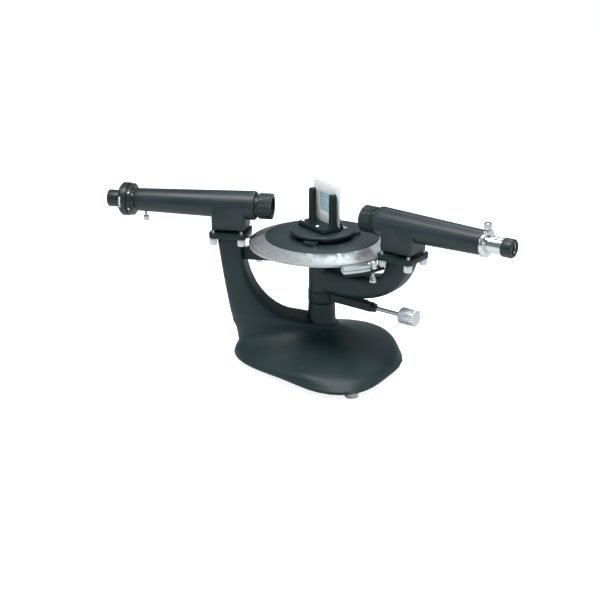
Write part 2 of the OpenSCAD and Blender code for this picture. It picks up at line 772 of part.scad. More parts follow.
// Eyepiece end of the telescope
eyepiece_lock_r = 1.5;
module telescope_flange() {
    color(silver) at_telescope() along_axis(telescope_end) difference() {
        union() {
            rotate_extrude() polygon([
                [draw_r + fit, 0], [flange_d / 2 - 0.8, 0], [flange_d / 2, 0.8],
                [flange_d / 2, flange_l - 0.8], [flange_d / 2 - 0.8, flange_l],
                [draw_r + fit, flange_l]
            ]);
            translate([0, 0, -12]) ring(tube_bore_r - 0.02, draw_r + fit, 12.5);
        }
        translate([-flange_d / 2 - 1, 0, flange_l / 2]) rotate([0, 90, 0])
            cylinder(r = eyepiece_lock_r + fit, h = flange_d / 2);
    }
}

eyepiece_in = 36;
module eyepiece_tube() {
    color(silver) at_telescope() along_axis(cap_start - draw_show - flange_l - eyepiece_in)
        ring(draw_r, draw_r - 1.3, draw_show + flange_l + eyepiece_in + 3);
}

module eyepiece_cap() {
    color(dark) at_telescope() along_axis(cap_start) difference() {
        rotate_extrude() polygon([
            [6.5, 0], [cap_d / 2 - 1.2, 0], [cap_d / 2, 1.2], [cap_d / 2, cap_l - 1.4],
            [cap_d / 2 - 1.4, cap_l], [7.6, cap_l], [6.5, cap_l - 2]
        ]);
        translate([0, 0, -1]) cylinder(r = draw_r, h = 4);
        translate([0, 0, 3 - eps]) cylinder(r = draw_r - 1.2, h = cap_l - 6);
    }
}

module eyepiece_lens() {
    color(clear) at_telescope() {
        along_axis(cap_end - 6) rotate_extrude() polygon([
            [0, 0], [draw_r - 1.25, 0], [draw_r - 1.25, 1.5], [6.2, 3], [0, 3]
        ]);
        along_axis(cap_start - 6) lens_between(draw_r - 1.35, 3, 0.8);
    }
}

module reticle() {
    color(clear) at_telescope() along_axis(flange_end - eyepiece_in + 4) cylinder(r = draw_r - 1.35, h = 1.2);
}

module eyepiece_lock_screw() {
    color(silver) at_telescope()
        translate([telescope_end + flange_l / 2, 0, axis_z + draw_r + gap]) {
            cylinder(r = eyepiece_lock_r, h = flange_d / 2 - draw_r + 1);
            translate([0, 0, flange_d / 2 - draw_r + 0.2]) knurled(8.5, 7, 18, 0.5);
        }
}

// Graduated circle on its hub: the ring's ledge under the disc and the flat foot of its rim
ledge_w = 8;
ledge_t = 2.4;
rim_foot_w = 6;
hub_neck_r = spindle_r + 4;
hub_flange_t = 3;
module circle_disc() {
    color(dark) translate([0, 0, disc_z]) ring(disc_r, spindle_r + fit, disc_t);
}

module graduated_ring() {
    color(silver) translate([0, 0, circle_z]) rotate_extrude() polygon([
        [disc_r - ledge_w, disc_z - circle_z - ledge_t], [circle_r - rim_foot_w, 0], [circle_r, 0],
        [circle_r, rim_t], [disc_r + 0.02, rim_t + bevel_h], [disc_r + 0.02, disc_z - circle_z],
        [disc_r - ledge_w, disc_z - circle_z]
    ]);
}

module circle_hub() {
    color(steel) rotate_extrude() polygon([
        [spindle_r + fit, hub_top_z + gap], [hub_neck_r, hub_top_z + gap],
        [hub_neck_r, disc_z - hub_flange_t - 1], [circle_hub_r, disc_z - hub_flange_t],
        [circle_hub_r, disc_z], [spindle_r + fit, disc_z]
    ]);
}

// Fixed bracket from the collimator arm that clamps the circle from below
bracket_h = 13;
bracket_drop = 11.2;
bracket_z = circle_z - bracket_drop - bracket_h;
bracket_w = 16;
bracket_in = 52;
bracket_out = arm_inside(bracket_z) - gap;
clamp_s = circle_r - 10;
module circle_clamp_bracket() {
    color(dark) difference() {
        translate([-bracket_out, -bracket_w / 2, bracket_z])
            cube([bracket_out - bracket_in, bracket_w, bracket_h]);
        translate([-clamp_s, 0, bracket_z - 1]) cylinder(r = lock_r + fit, h = bracket_h + 2);
    }
}

module circle_clamp_screw() {
    color(silver) translate([-clamp_s, 0, 0]) {
        translate([0, 0, bracket_z - gap - 4]) knurled(7, 4, 16, 0.45);
        translate([0, 0, bracket_z - gap - eps])
            cylinder(r = lock_r, h = circle_z - bracket_z);
    }
}

// Prism table on its stem
lobe_angles = [-56, 64, 184];
module table_stem() {
    color(steel) translate([0, 0, lobe_z - stem_l]) cylinder(r = stem_r, h = stem_l - 0.5);
}

module table_base_plate() {
    color(dark) at_holder() difference() {
        union() {
            translate([0, 0, lobe_z]) cylinder(r = 30, h = lobe_t);
            for (a = lobe_angles) rotate([0, 0, a]) {
                translate([lobe_reach - 9, 0, lobe_z]) cylinder(r = 9, h = lobe_t);
                translate([0, -9, lobe_z]) cube([lobe_reach - 9, 18, lobe_t]);
            }
            translate([0, 0, lobe_z + lobe_t - eps]) cylinder(r = 10, h = 1 + eps);
        }
        translate([0, 0, lobe_z - 1]) cylinder(r = stem_r + fit, h = 2.5);
    }
}

table_screw_s = 31;
table_screw_r = 1.5;
module table_disc() {
    color(dark) at_holder() difference() {
        translate([0, 0, table_z]) rotate_extrude() polygon([
            [0, 0], [table_r - 1, 0], [table_r, 1], [table_r, table_t - 1.6],
            [table_r - 0.5, table_t - 0.5], [table_r - 1.6, table_t], [0, table_t]
        ]);
        for (a = lobe_angles) rotate([0, 0, a]) translate([table_screw_s, 0, table_z - 1])
            cylinder(r = table_screw_r, h = table_t + 2);
        for (x = holder_screw_x) translate([x, holder_screw_y, table_top_z - 2.5])
            cylinder(r = holder_screw_r, h = 3);
    }
}

module table_leveling_screws() {
    color(steel) at_holder() for (a = lobe_angles) rotate([0, 0, a])
        translate([table_screw_s, 0, lobe_z + lobe_t])
            cylinder(r = table_screw_r - 0.02, h = table_t + 1 - 0.3);
}

// Slide holder: a block with two posts, a leaf spring and a square slide
holder_mid = -2;
holder_chamfer = 9;
slide_mid = -2;
holder_screw_x = [holder_mid - holder_l / 2 + 5, 5];
holder_screw_y = -11;
holder_screw_r = 1.6;
post_y = 0;
slot_y = post_y + post_d / 2 + 3.5;
module slide_holder() {
    color(dark) at_holder() difference() {
        union() {
            translate([holder_mid, 0, table_top_z]) rounded_plate(holder_l, holder_w, holder_t, 4);
            for (x = [-1, 1]) translate([x * post_pitch / 2, post_y, holder_top_z - eps]) {
                translate([-post_w / 2, -post_d / 2, 0]) cube([post_w, post_d, post_h - post_w / 2]);
                translate([0, post_d / 2, post_h - post_w / 2]) rotate([90, 0, 0])
                    cylinder(r = post_w / 2, h = post_d);
            }
        }
        translate([slide_mid - slide_s / 2 - gap, slot_y - gap, holder_top_z - slot_depth])
            cube([slide_s + 2 * gap, slide_t + 2 * gap, slot_depth + 1]);
        // Bevelled corner behind the right post
        translate([holder_mid + holder_l / 2 - holder_chamfer, holder_w / 2, table_top_z - 1])
            rotate([0, 0, -45]) cube([2 * holder_chamfer, holder_chamfer, holder_t + 2]);
        for (x = holder_screw_x) translate([x, holder_screw_y, table_top_z - 1])
            cylinder(r = holder_screw_r, h = holder_t + 2);
    }
}
slot_depth = 1.2;

module holder_screws() {
    color(silver) at_holder() for (x = holder_screw_x) {
        translate([x, holder_screw_y, table_top_z - 2.2])
            cylinder(r = holder_screw_r - 0.02, h = holder_t + 2.3);
        translate([x, holder_screw_y, holder_top_z]) rotate_extrude() polygon([
            [0, 0], [3, 0], [3, 0.8], [2, 1.8], [0, 2]
        ]);
    }
}

spring_w = 10;
spring_t = 0.5;
spring_top = 31;
spring_foot = 17;
spring_x = 7;
module slide_spring() {
    color(silver) at_holder()
        translate([spring_x, slot_y + slide_t + gap, table_top_z])
            rotate([90, 0, 90]) linear_extrude(spring_w) polygon([
                [spring_foot, 0], [spring_foot, spring_t], [10.9, spring_t], [0.5, spring_top * 0.85],
                [1.6, spring_top], [1.1, spring_top], [0, spring_top * 0.85], [10.4, 0]
            ]);
}

module slide_frame() {
    color(white) at_holder()
        translate([slide_mid - slide_s / 2, slot_y, holder_top_z - slot_depth + gap])
        difference() {
            cube([slide_s, slide_t, slide_s]);
            translate([(slide_s - window_s) / 2, -1, (slide_s - window_s) / 2])
                cube([window_s, slide_t + 2, window_s]);
        }
}

module grating_film() {
    color([0.6, 0.7, 0.9])
        at_holder() translate([slide_mid - window_s / 2, slot_y + slide_t / 2 - 0.2,
            holder_top_z - slot_depth + gap + (slide_s - window_s) / 2])
            cube([window_s, 0.4, window_s]);
}

base_casting();
base_feet();
stand_screws();
column();
spindle();
spindle_nut();
collimator_plate();
circle_clamp_bracket();
circle_clamp_screw();
collimator_body();
collimator_pivot_pin();
collimator_objective_ring();
collimator_lens();
collimator_screw_1();
collimator_screw_2();
collimator_screw_3();
collimator_screw_4();
slit_draw_tube();
slit_drum();
slit_barrel();
fixed_jaw();
moving_jaw();
slit_knob();
slit_lock_screw();
telescope_arm();
hub_bushes();
clamp_collar();
clamp_screw();
telescope_plate();
arm_screws();
vernier_bracket();
vernier_plate();
circle_lock_screw();
telescope_body();
telescope_pivot_pin();
telescope_objective_ring();
telescope_lens();
telescope_screw_1();
telescope_screw_2();
telescope_screw_3();
telescope_screw_4();
telescope_flange();
eyepiece_tube();
eyepiece_cap();
eyepiece_lens();
reticle();
eyepiece_lock_screw();
circle_disc();
graduated_ring();
circle_hub();
table_stem();
table_base_plate();
table_disc();
table_leveling_screws();
slide_holder();
holder_screws();
slide_spring();
slide_frame();
grating_film();
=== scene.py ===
import json
import math

import bpy
from mathutils import Matrix, Vector


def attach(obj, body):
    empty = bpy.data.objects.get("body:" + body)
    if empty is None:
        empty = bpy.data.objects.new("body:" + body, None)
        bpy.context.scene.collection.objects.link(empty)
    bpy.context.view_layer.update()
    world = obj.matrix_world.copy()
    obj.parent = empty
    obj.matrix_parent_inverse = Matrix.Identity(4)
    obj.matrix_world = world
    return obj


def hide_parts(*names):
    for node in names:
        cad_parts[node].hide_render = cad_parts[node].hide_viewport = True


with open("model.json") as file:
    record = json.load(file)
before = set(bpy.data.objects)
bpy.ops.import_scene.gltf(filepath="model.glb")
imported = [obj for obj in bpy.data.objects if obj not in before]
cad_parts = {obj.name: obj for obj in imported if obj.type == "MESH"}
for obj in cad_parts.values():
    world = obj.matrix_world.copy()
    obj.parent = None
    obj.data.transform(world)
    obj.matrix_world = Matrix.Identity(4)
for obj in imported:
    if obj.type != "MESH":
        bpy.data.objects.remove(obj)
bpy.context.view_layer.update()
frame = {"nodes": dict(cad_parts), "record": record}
scene = bpy.context.scene

MM = 0.001
TELESCOPE_ANGLE = math.radians(-26.2)
COLLIMATOR_ANGLE = math.pi
HOLDER_ANGLE = math.radians(-44)
AXIS_HEIGHT = 200 * MM

# The circle's bevel, from its outer edge up to the black disc: radius and height
RING_EDGE = Vector((89.0, 160.2)) * MM
RING_TOP = Vector((69.32, 167.0)) * MM
INK_LIFT = 0.01 * MM

# The bluntest edge that is broken, and the sharpest that is shaded smooth, in degrees
EDGE_ANGLE = 35
SMOOTH_ANGLE = 32


# ---------------------------------------------------------------- surface finishes

def new_group(name, inputs, outputs):
    group = bpy.data.node_groups.new(name, "ShaderNodeTree")
    for label, kind, value in inputs:
        socket = group.interface.new_socket(name=label, in_out="INPUT", socket_type=kind)
        if value is not None:
            socket.default_value = value
    for label in outputs:
        group.interface.new_socket(name=label, in_out="OUTPUT", socket_type="NodeSocketFloat")
    return group, group.nodes.new("NodeGroupInput"), group.nodes.new("NodeGroupOutput")


def link(tree, start, end):
    tree.links.new(start, end)


def noise(tree, vector, scale, detail=2.0, roughness=0.5):
    node = tree.nodes.new("ShaderNodeTexNoise")
    node.inputs["Scale"].default_value = scale
    node.inputs["Detail"].default_value = detail
    node.inputs["Roughness"].default_value = roughness
    link(tree, vector, node.inputs["Vector"])
    return node


def maths(tree, operation, *values):
    node = tree.nodes.new("ShaderNodeMath")
    node.operation = operation
    for socket, value in zip(node.inputs, values):
        if isinstance(value, (int, float)):
            socket.default_value = value
        else:
            link(tree, value, socket)
    return node.outputs[0]


def ranged(tree, value, low, high, out_low, out_high):
    node = tree.nodes.new("ShaderNodeMapRange")
    node.inputs["From Min"].default_value = low
    node.inputs["From Max"].default_value = high
    node.inputs["To Min"].default_value = out_low
    node.inputs["To Max"].default_value = out_high
    link(tree, value, node.inputs["Value"])
    return node.outputs["Result"]


def make_paint_skin():
    """Fine peel of sprayed enamel over the soft unevenness of a casting, with broad smudges."""
    group, start, end = new_group("paint_skin", [
        ("Vector", "NodeSocketVector", None),
        ("Peel Size", "NodeSocketFloat", 900.0),
    ], ["Smudge", "Height"])
    peel = group.nodes.new("ShaderNodeTexNoise")
    peel.inputs["Detail"].default_value = 2.0
    link(group, start.outputs["Vector"], peel.inputs["Vector"])
    link(group, start.outputs["Peel Size"], peel.inputs["Scale"])
    wave = noise(group, start.outputs["Vector"], 60, 2)
    smudge = noise(group, start.outputs["Vector"], 28, 5, 0.62)
    sum_up = maths(group, "MULTIPLY_ADD", wave.outputs["Fac"], 3.0, peel.outputs["Fac"])
    link(group, sum_up, end.inputs["Height"])
    link(group, ranged(group, smudge.outputs["Fac"], 0.3, 0.7, 0, 1), end.inputs["Smudge"])
    return group


def make_tool_marks():
    """Fine grooves that a lathe leaves round the Z axis of its coordinates, and hairline scratches."""
    group, start, end = new_group("tool_marks", [
        ("Vector", "NodeSocketVector", None),
        ("Pitch", "NodeSocketFloat", 1500.0),
    ], ["Groove", "Scratch"])
    split = group.nodes.new("ShaderNodeSeparateXYZ")
    link(group, start.outputs["Vector"], split.inputs[0])
    across = maths(group, "POWER", split.outputs["X"], 2.0)
    along = maths(group, "POWER", split.outputs["Y"], 2.0)
    radius = maths(group, "SQRT", maths(group, "ADD", across, along))
    join = group.nodes.new("ShaderNodeCombineXYZ")
    link(group, maths(group, "MULTIPLY", radius, start.outputs["Pitch"]), join.inputs["X"])
    link(group, maths(group, "MULTIPLY", split.outputs["Z"], start.outputs["Pitch"]), join.inputs["Y"])
    lines = noise(group, join.outputs[0], 1.0, 3, 0.6)
    link(group, lines.outputs["Fac"], end.inputs["Groove"])
    hair = noise(group, start.outputs["Vector"], 350, 6, 0.75)
    link(group, ranged(group, hair.outputs["Fac"], 0.62, 0.7, 0, 1), end.inputs["Scratch"])
    return group


PAINT_SKIN = make_paint_skin()
TOOL_MARKS = make_tool_marks()


def start_material(name):
    material = bpy.data.materials.new(name)
    material.use_nodes = True
    tree = material.node_tree
    shader = tree.nodes["Principled BSDF"]
    place = tree.nodes.new("ShaderNodeTexCoord")
    turn = tree.nodes.new("ShaderNodeMapping")
    turn.vector_type = "TEXTURE"
    link(tree, place.outputs["Object"], turn.inputs["Vector"])
    return material, tree, shader, turn


def use_group(tree, group, vector, **values):
    node = tree.nodes.new("ShaderNodeGroup")
    node.node_tree = group
    link(tree, vector, node.inputs["Vector"])
    for label, value in values.items():
        node.inputs[label.replace("_", " ")].default_value = value
    return node


def colour_between(tree, mask, dark, light):
    mix = tree.nodes.new("ShaderNodeMix")
    mix.data_type = "RGBA"
    mix.inputs["A"].default_value = (*dark, 1)
    mix.inputs["B"].default_value = (*light, 1)
    link(tree, mask, mix.inputs["Factor"])
    return mix.outputs["Result"]


def bump(tree, height, distance, strength, shader):
    node = tree.nodes.new("ShaderNodeBump")
    node.inputs["Distance"].default_value = distance
    node.inputs["Strength"].default_value = strength
    link(tree, height, node.inputs["Height"])
    link(tree, node.outputs["Normal"], shader.inputs["Normal"])


def paint(name, dark, light, rough, peel_size=900.0, depth=0.02 * MM, specular=0.5):
    """Sprayed enamel or anodising: two close shades, uneven gloss and a fine peel."""
    material, tree, shader, turn = start_material(name)
    skin = use_group(tree, PAINT_SKIN, turn.outputs["Vector"], Peel_Size=peel_size)
    link(tree, colour_between(tree, skin.outputs["Smudge"], dark, light), shader.inputs["Base Color"])
    link(tree, ranged(tree, skin.outputs["Smudge"], 0, 1, *rough), shader.inputs["Roughness"])
    shader.inputs["Specular IOR Level"].default_value = specular
    bump(tree, skin.outputs["Height"], depth, 0.5, shader)
    return material


def metal(name, dark, light, rough, pitch=1500.0, depth=0.002 * MM, metallic=1.0, turned=None,
          anisotropy=0.0, round_z=False, wear=0.06):
    """Machined metal: lathe grooves round an axis, hairline scratches and uneven shine.

    wear: how much the scratches dull it. turned: the axis' place and the turn that brings +Z onto
    it. round_z: the sheen is brushed round +Z.
    """
    material, tree, shader, turn = start_material(name)
    if turned:
        turn.inputs["Location"].default_value = turned[0]
        turn.inputs["Rotation"].default_value = turned[1]
    marks = use_group(tree, TOOL_MARKS, turn.outputs["Vector"], Pitch=pitch)
    link(tree, colour_between(tree, marks.outputs["Groove"], dark, light), shader.inputs["Base Color"])
    worn = maths(tree, "MULTIPLY_ADD", marks.outputs["Scratch"], wear,
                 ranged(tree, marks.outputs["Groove"], 0.3, 0.7, *rough))
    link(tree, worn, shader.inputs["Roughness"])
    shader.inputs["Metallic"].default_value = metallic
    shader.inputs["Anisotropic"].default_value = anisotropy
    if round_z:
        tangent = tree.nodes.new("ShaderNodeTangent")
        tangent.direction_type, tangent.axis = "RADIAL", "Z"
        link(tree, tangent.outputs[0], shader.inputs["Tangent"])
    bump(tree, marks.outputs["Groove"], depth, 0.6, shader)
    return material


def glass(name, colour, rough, ior=1.5, tint=0.0):
    """Optical glass with a faint bloom of uneven polish."""
    material, tree, shader, turn = start_material(name)
    bloom = noise(tree, turn.outputs["Vector"], 120, 3)
    link(tree, colour_between(tree, bloom.outputs["Fac"], colour, [c * (1 - tint) for c in colour]),
         shader.inputs["Base Color"])
    link(tree, ranged(tree, bloom.outputs["Fac"], 0.3, 0.7, rough, rough * 2.5),
         shader.inputs["Roughness"])
    shader.inputs["Transmission Weight"].default_value = 1.0
    shader.inputs["IOR"].default_value = ior
    return material


along_telescope = ((0, 0, AXIS_HEIGHT), (0, math.pi / 2, TELESCOPE_ANGLE))
along_collimator = ((0, 0, AXIS_HEIGHT), (0, math.pi / 2, COLLIMATOR_ANGLE))

FINISH = {
    "cast_enamel": paint("cast_enamel", (0.004, 0.017, 0.020), (0.007, 0.023, 0.027), (0.42, 0.52),
                         700, 0.03 * MM, specular=0.42),
    "tube_enamel": paint("tube_enamel", (0.007, 0.018, 0.022), (0.010, 0.023, 0.027), (0.40, 0.48)),
    "plate_enamel": paint("plate_enamel", (0.003, 0.012, 0.014), (0.005, 0.016, 0.018), (0.42, 0.52),
                          1100, specular=0.36),
    "black_anodised": paint("black_anodised", (0.006, 0.013, 0.015), (0.010, 0.020, 0.022),
                            (0.34, 0.44), 1500, 0.01 * MM),
    "ring_silver": metal("ring_silver", (0.42, 0.45, 0.47), (0.50, 0.53, 0.55), (0.40, 0.46),
                         1400, 0.001 * MM, anisotropy=0.5, round_z=True, wear=0.0),
    "disc_black": metal("disc_black", (0.010, 0.022, 0.027), (0.016, 0.030, 0.035), (0.40, 0.48),
                        1800, metallic=0.0),
    "nickel": metal("nickel", (0.56, 0.58, 0.60), (0.66, 0.68, 0.70), (0.20, 0.28)),
    "knob_nickel": metal("knob_nickel", (0.52, 0.54, 0.57), (0.60, 0.62, 0.65), (0.28, 0.36),
                         depth=0.001 * MM),
    "vernier_silver": metal("vernier_silver", (0.52, 0.56, 0.57), (0.60, 0.64, 0.65), (0.36, 0.44),
                            depth=0.001 * MM),
    "nickel_tube": metal("nickel_tube", (0.60, 0.62, 0.63), (0.70, 0.72, 0.73), (0.14, 0.22),
                         1800, turned=along_telescope),
    "slit_tube_nickel": metal("slit_tube_nickel", (0.60, 0.62, 0.63), (0.70, 0.72, 0.73),
                              (0.14, 0.22), 1800, turned=along_collimator),
    "steel": metal("steel", (0.42, 0.44, 0.46), (0.54, 0.56, 0.58), (0.24, 0.34), 1200),
    "brass": metal("brass", (0.55, 0.40, 0.16), (0.72, 0.56, 0.26), (0.24, 0.36), 1200),
    "spring_steel": metal("spring_steel", (0.66, 0.71, 0.74), (0.74, 0.79, 0.82), (0.42, 0.5), 900),
    "lens": glass("lens", (0.93, 0.97, 0.98), 0.01),
    "film": glass("film", (0.18, 0.26, 0.29), 0.05, 1.35, 0.12),
    "foot_grey": paint("foot_grey", (0.36, 0.39, 0.38), (0.46, 0.49, 0.48), (0.5, 0.65),
                       1200, 0.04 * MM),
    "slide_white": paint("slide_white", (0.74, 0.77, 0.78), (0.82, 0.85, 0.86), (0.38, 0.48),
                         1400, 0.01 * MM),
    "scale_ink": paint("scale_ink", (0.05, 0.055, 0.06), (0.09, 0.095, 0.10), (0.45, 0.6),
                       2000, 0.005 * MM),
    "number_ink": paint("number_ink", (0.20, 0.10, 0.10), (0.27, 0.14, 0.14), (0.45, 0.6),
                        2000, 0.005 * MM),
    "scale_white": paint("scale_white", (0.70, 0.74, 0.75), (0.80, 0.84, 0.85), (0.4, 0.5),
                         2000, 0.005 * MM),
}


# ---------------------------------------------------------------- modelling helpers

def pick(*objects):
    bpy.ops.object.select_all(action="DESELECT")
    for o in objects:
        o.select_set(True)
    bpy.context.view_layer.objects.active = objects[0]


def edit(all_selected=True):
    bpy.ops.object.mode_set(mode="EDIT")
    bpy.ops.mesh.select_all(action="SELECT" if all_selected else "DESELECT")


def leave_edit():
    bpy.ops.object.mode_set(mode="OBJECT")


def settle(piece, place):
    """Puts the object's place, and then the one given, into its mesh, and the object at the origin."""
    bpy.context.view_layer.update()
    piece.data.transform(place @ piece.matrix_world)
    piece.matrix_world = Matrix.Identity(4)


def break_edges(piece, width):
    bevel = piece.modifiers.new("broken_edges", "BEVEL")
    bevel.width = width
    bevel.segments = 2
    bevel.limit_method = "ANGLE"
    bevel.angle_limit = math.radians(EDGE_ANGLE)
    bevel.harden_normals = False
    pick(piece)
    bpy.ops.object.modifier_apply(modifier=bevel.name)


def smooth(piece, angle=SMOOTH_ANGLE):
    pick(piece)
    bpy.ops.object.shade_smooth_by_angle(angle=math.radians(angle))


def finish_piece(piece, name, body, finish):
    piece.name = name
    piece.data.materials.clear()
    piece.data.materials.append(FINISH[finish])
    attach(piece, body)
    return piece


def join(pieces):
    pick(*pieces)
    bpy.ops.object.join()
    return bpy.context.object


BODY_OF = {n: body for body, ns in frame["record"]["behaviour"]["bodies"].items() for n in ns}


def refined(node, finish, width):
    """The CAD node's own shape with merged faces and softly broken edges."""
    source = frame["nodes"][node]
    piece = bpy.data.objects.new(node + "_finished", source.data.copy())
    scene.collection.objects.link(piece)
    pick(piece)
    edit()
    bpy.ops.mesh.remove_doubles(threshold=0.005 * MM)
    bpy.ops.mesh.dissolve_limited(angle_limit=math.radians(0.4))
    leave_edit()
    if width:
        break_edges(piece, width)
    smooth(piece)
    finish_piece(piece, node + "_finished", BODY_OF[node], finish)
    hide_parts(node)
    return piece


# ---------------------------------------------------------------- the turned, cast and milled pieces

REFINED = {
    "base_casting": ("cast_enamel", 0.6 * MM),
    "base_feet": ("foot_grey", 0.6 * MM),
    "column": ("plate_enamel", 0.3 * MM),
    "collimator_plate": ("plate_enamel", 0.5 * MM),
    "telescope_plate": ("plate_enamel", 0.5 * MM),
    "circle_clamp_bracket": ("plate_enamel", 0.5 * MM),
    "telescope_arm": ("cast_enamel", 0.8 * MM),
    "clamp_collar": ("plate_enamel", 0.5 * MM),
    "vernier_bracket": ("plate_enamel", 0.4 * MM),
    "vernier_plate": ("vernier_silver", 0.3 * MM),
    "collimator_body": ("tube_enamel", 0.5 * MM),
    "telescope_body": ("tube_enamel", 0.5 * MM),
    "collimator_objective_ring": ("black_anodised", 0),
    "telescope_objective_ring": ("black_anodised", 0),
    "slit_drum": ("black_anodised", 0.3 * MM),
    "slit_barrel": ("black_anodised", 0.3 * MM),
    "slit_draw_tube": ("slit_tube_nickel", 0.2 * MM),
    "telescope_flange": ("nickel_tube", 0.3 * MM),
    "eyepiece_tube": ("nickel_tube", 0.2 * MM),
    "eyepiece_cap": ("black_anodised", 0.3 * MM),
    "circle_disc": ("disc_black", 0.2 * MM),
    "graduated_ring": ("ring_silver", 0.25 * MM),
    "circle_hub": ("steel", 0.3 * MM),
    "table_base_plate": ("disc_black", 0.4 * MM),
    "table_disc": ("disc_black", 0.3 * MM),
    "slide_holder": ("plate_enamel", 0.5 * MM),
    "slide_frame": ("slide_white", 0.3 * MM),
    "slide_spring": ("spring_steel", 0.1 * MM),
    "holder_screws": ("nickel", 0.2 * MM),
    "clamp_screw": ("knob_nickel", 0.3 * MM),
    "circle_lock_screw": ("nickel", 0.1 * MM),
    "circle_clamp_screw": ("nickel", 0.1 * MM),
    "slit_knob": ("nickel", 0.1 * MM),
    "slit_lock_screw": ("nickel", 0.1 * MM),
    "eyepiece_lock_screw": ("nickel", 0.1 * MM),
    "spindle": ("steel", 0.3 * MM),
    "spindle_nut": ("steel", 0.3 * MM),
}
for tube in ("collimator", "telescope"):
    for number in range(1, 5):
        REFINED[f"{tube}_screw_{number}"] = ("nickel", 0.1 * MM)

FINE = {node: refined(node, finish, width) for node, (finish, width) in REFINED.items()}

STAYS = {
    "stand_screws": "steel", "arm_screws": "steel", "hub_bushes": "brass",
    "collimator_pivot_pin": "steel", "telescope_pivot_pin": "steel",
    "fixed_jaw": "brass", "moving_jaw": "brass",
    "collimator_lens": "lens", "telescope_lens": "lens", "eyepiece_lens": "lens", "reticle": "lens",
    "table_stem": "steel", "table_leveling_screws": "steel", "grating_film": "film",
}
for node, finish in STAYS.items():
    mesh = frame["nodes"][node].data
    mesh.materials.clear()
    mesh.materials.append(FINISH[finish])


# ---------------------------------------------------------------- small fittings

def about_z(angle, *at):
    """Place at a point of a frame turned round the instrument's axis."""
    return Matrix.Rotation(angle, 4, "Z") @ Matrix.Translation(at)


def box(size, place):
    bpy.ops.object.select_all(action="DESELECT")
    bpy.ops.mesh.primitive_cube_add(size=1)
    piece = bpy.context.object
    piece.data.transform(Matrix.Diagonal((*size, 1)))
    settle(piece, place)
    return piece


def cut(piece, cutters):
    """Cuts shapes out of a piece and deletes them."""
    for cutter in cutters:
        modifier = piece.modifiers.new("cut", "BOOLEAN")
        modifier.operation = "DIFFERENCE"
        modifier.solver = "EXACT"
        modifier.object = cutter
        pick(piece)
        bpy.ops.object.modifier_apply(modifier=modifier.name)
        bpy.data.objects.remove(cutter)


def peg(radius, length, place):
    """A short cylinder that starts at the place and runs along its +Z."""
    bpy.ops.object.select_all(action="DESELECT")
    bpy.ops.mesh.primitive_cylinder_add(vertices=32, radius=radius, depth=length)
    piece = bpy.context.object
    piece.data.transform(Matrix.Translation((0, 0, length / 2)))
    settle(piece, place)
    return piece


# Heights between which the casting's rim is smoothed, and how often
RIM_BANDS = ((12 * MM, 45 * MM, 22), (10.5 * MM, 24 * MM, 3))


def soften_rim(piece):
    """Rolls the rim's top edge over into the skirt, as the sand casting does."""
    pick(piece)
    for low, high, repeat in RIM_BANDS:
        edit(False)
        leave_edit()
        for vertex in piece.data.vertices:
            vertex.select = low < vertex.co.z < high
        bpy.ops.object.mode_set(mode="EDIT")
        bpy.ops.mesh.vertices_smooth(factor=0.5, repeat=repeat)
        leave_edit()
    smooth(piece, 40)


soften_rim(FINE["base_casting"])

# Driver slots across the holder's two screws: along the holder, and turned in degrees
HOLDER_SCREWS = ((-24, 25), (5, -40))
SCREW_ROW = -11 * MM
SCREW_TOP = 183.5 * MM
cut(FINE["holder_screws"], [
    box((7 * MM, 0.9 * MM, 1.0 * MM),
        about_z(HOLDER_ANGLE, x * MM, SCREW_ROW, SCREW_TOP)
        @ Matrix.Rotation(math.radians(turn), 4, "Z"))
    for x, turn in HOLDER_SCREWS
])


# ---------------------------------------------------------------- graduations

slope = (RING_TOP - RING_EDGE).normalized()


def on_bevel(angle, up):
    """Frame on the bevel: X along the scale, Y up the slope, Z out of the surface."""
    out = Vector((math.cos(angle), math.sin(angle), 0))
    along = Vector((-math.sin(angle), math.cos(angle), 0))
    rise = out * slope.x + Vector((0, 0, slope.y))
    normal = along.cross(rise)
    at = RING_EDGE + slope * up
    spot = out * at.x + Vector((0, 0, at.y)) + normal * INK_LIFT
    return Matrix((
        (along.x, rise.x, normal.x, spot.x),
        (along.y, rise.y, normal.y, spot.y),
        (along.z, rise.z, normal.z, spot.z),
        (0, 0, 0, 1),
    ))


# Sets of lines: degrees apart, length and width
LINES = (
    (0.5, 2.0 * MM, 0.10 * MM),
    (1, 3.0 * MM, 0.12 * MM),
    (5, 3.9 * MM, 0.14 * MM),
    (10, 4.6 * MM, 0.16 * MM),
)
LINE_FOOT = 0.6 * MM
NUMBER_FOOT = 5.6 * MM
NUMBER_SIZE = 3.6 * MM
NUMBER_STEP = 10


def ring_of_marks(every, length, width):
    """One engraved line, copied round the circle."""
    bpy.ops.object.select_all(action="DESELECT")
    bpy.ops.mesh.primitive_plane_add(size=1)
    mark = bpy.context.object
    mark.data.transform(Matrix.Translation((0, 0.5, 0)))
    mark.data.transform(Matrix.Diagonal((width, length, 1, 1)))
    settle(mark, on_bevel(0, LINE_FOOT))
    pick(mark)
    edit()
    bpy.ops.mesh.spin(steps=round(360 / every), dupli=True, angle=math.tau, center=(0, 0, 0),
                      axis=(0, 0, 1))
    bpy.ops.mesh.select_all(action="SELECT")
    bpy.ops.mesh.remove_doubles(threshold=0.001 * MM)
    leave_edit()
    return mark


def number_on_bevel(value):
    bpy.ops.object.select_all(action="DESELECT")
    bpy.ops.object.text_add()
    text = bpy.context.object
    text.data.body = str(value)
    text.data.size = NUMBER_SIZE
    text.data.align_x = "CENTER"
    text.data.align_y = "BOTTOM"
    text.data.resolution_u = 2
    bpy.ops.object.convert(target="MESH")
    settle(text, on_bevel(math.radians(value), NUMBER_FOOT))
    return text


